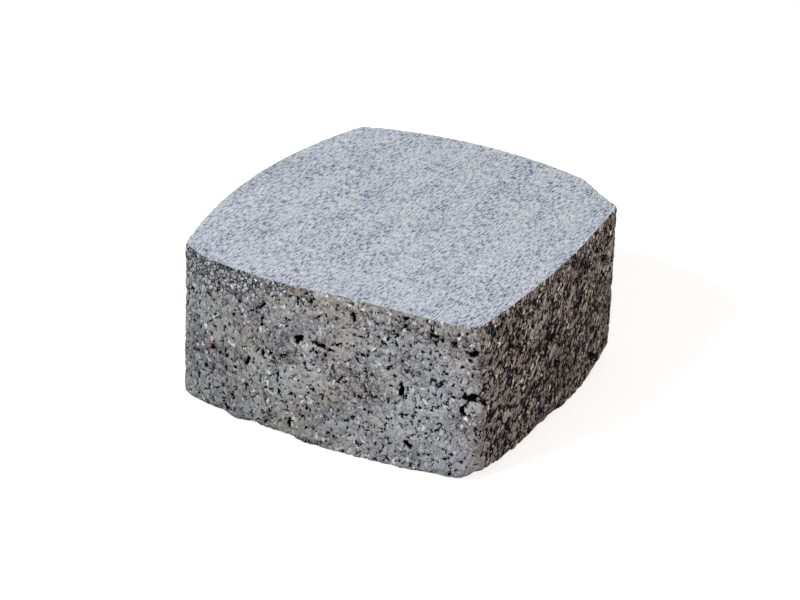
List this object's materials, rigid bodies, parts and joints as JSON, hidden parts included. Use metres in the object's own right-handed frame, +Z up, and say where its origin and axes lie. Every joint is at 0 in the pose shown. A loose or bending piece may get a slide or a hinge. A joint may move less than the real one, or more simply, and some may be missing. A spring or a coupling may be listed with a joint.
{
  "type": "paver",
  "caption": "Cast concrete paver with bowed sides, one cut corner, crisp top edges, rounded bed edges and porous sides.",
  "frame": {"origin": "centre of the bounding box on the bed face, the worn face that the paver lies on", "axes": "+Z up through the thickness to the wearing face; -Y out of the front side, whose crest is left of its middle; +X toward the side beside the cut corner, which is at +X +Y"},
  "size_m": [0.1215, 0.1244, 0.06],
  "materials": {
    "concrete": "matte, porous on the sides, fine granite look on top"
  },
  "bodies": {
    "root": {"concrete_paver": "concrete"}
  },
  "joints": []
}
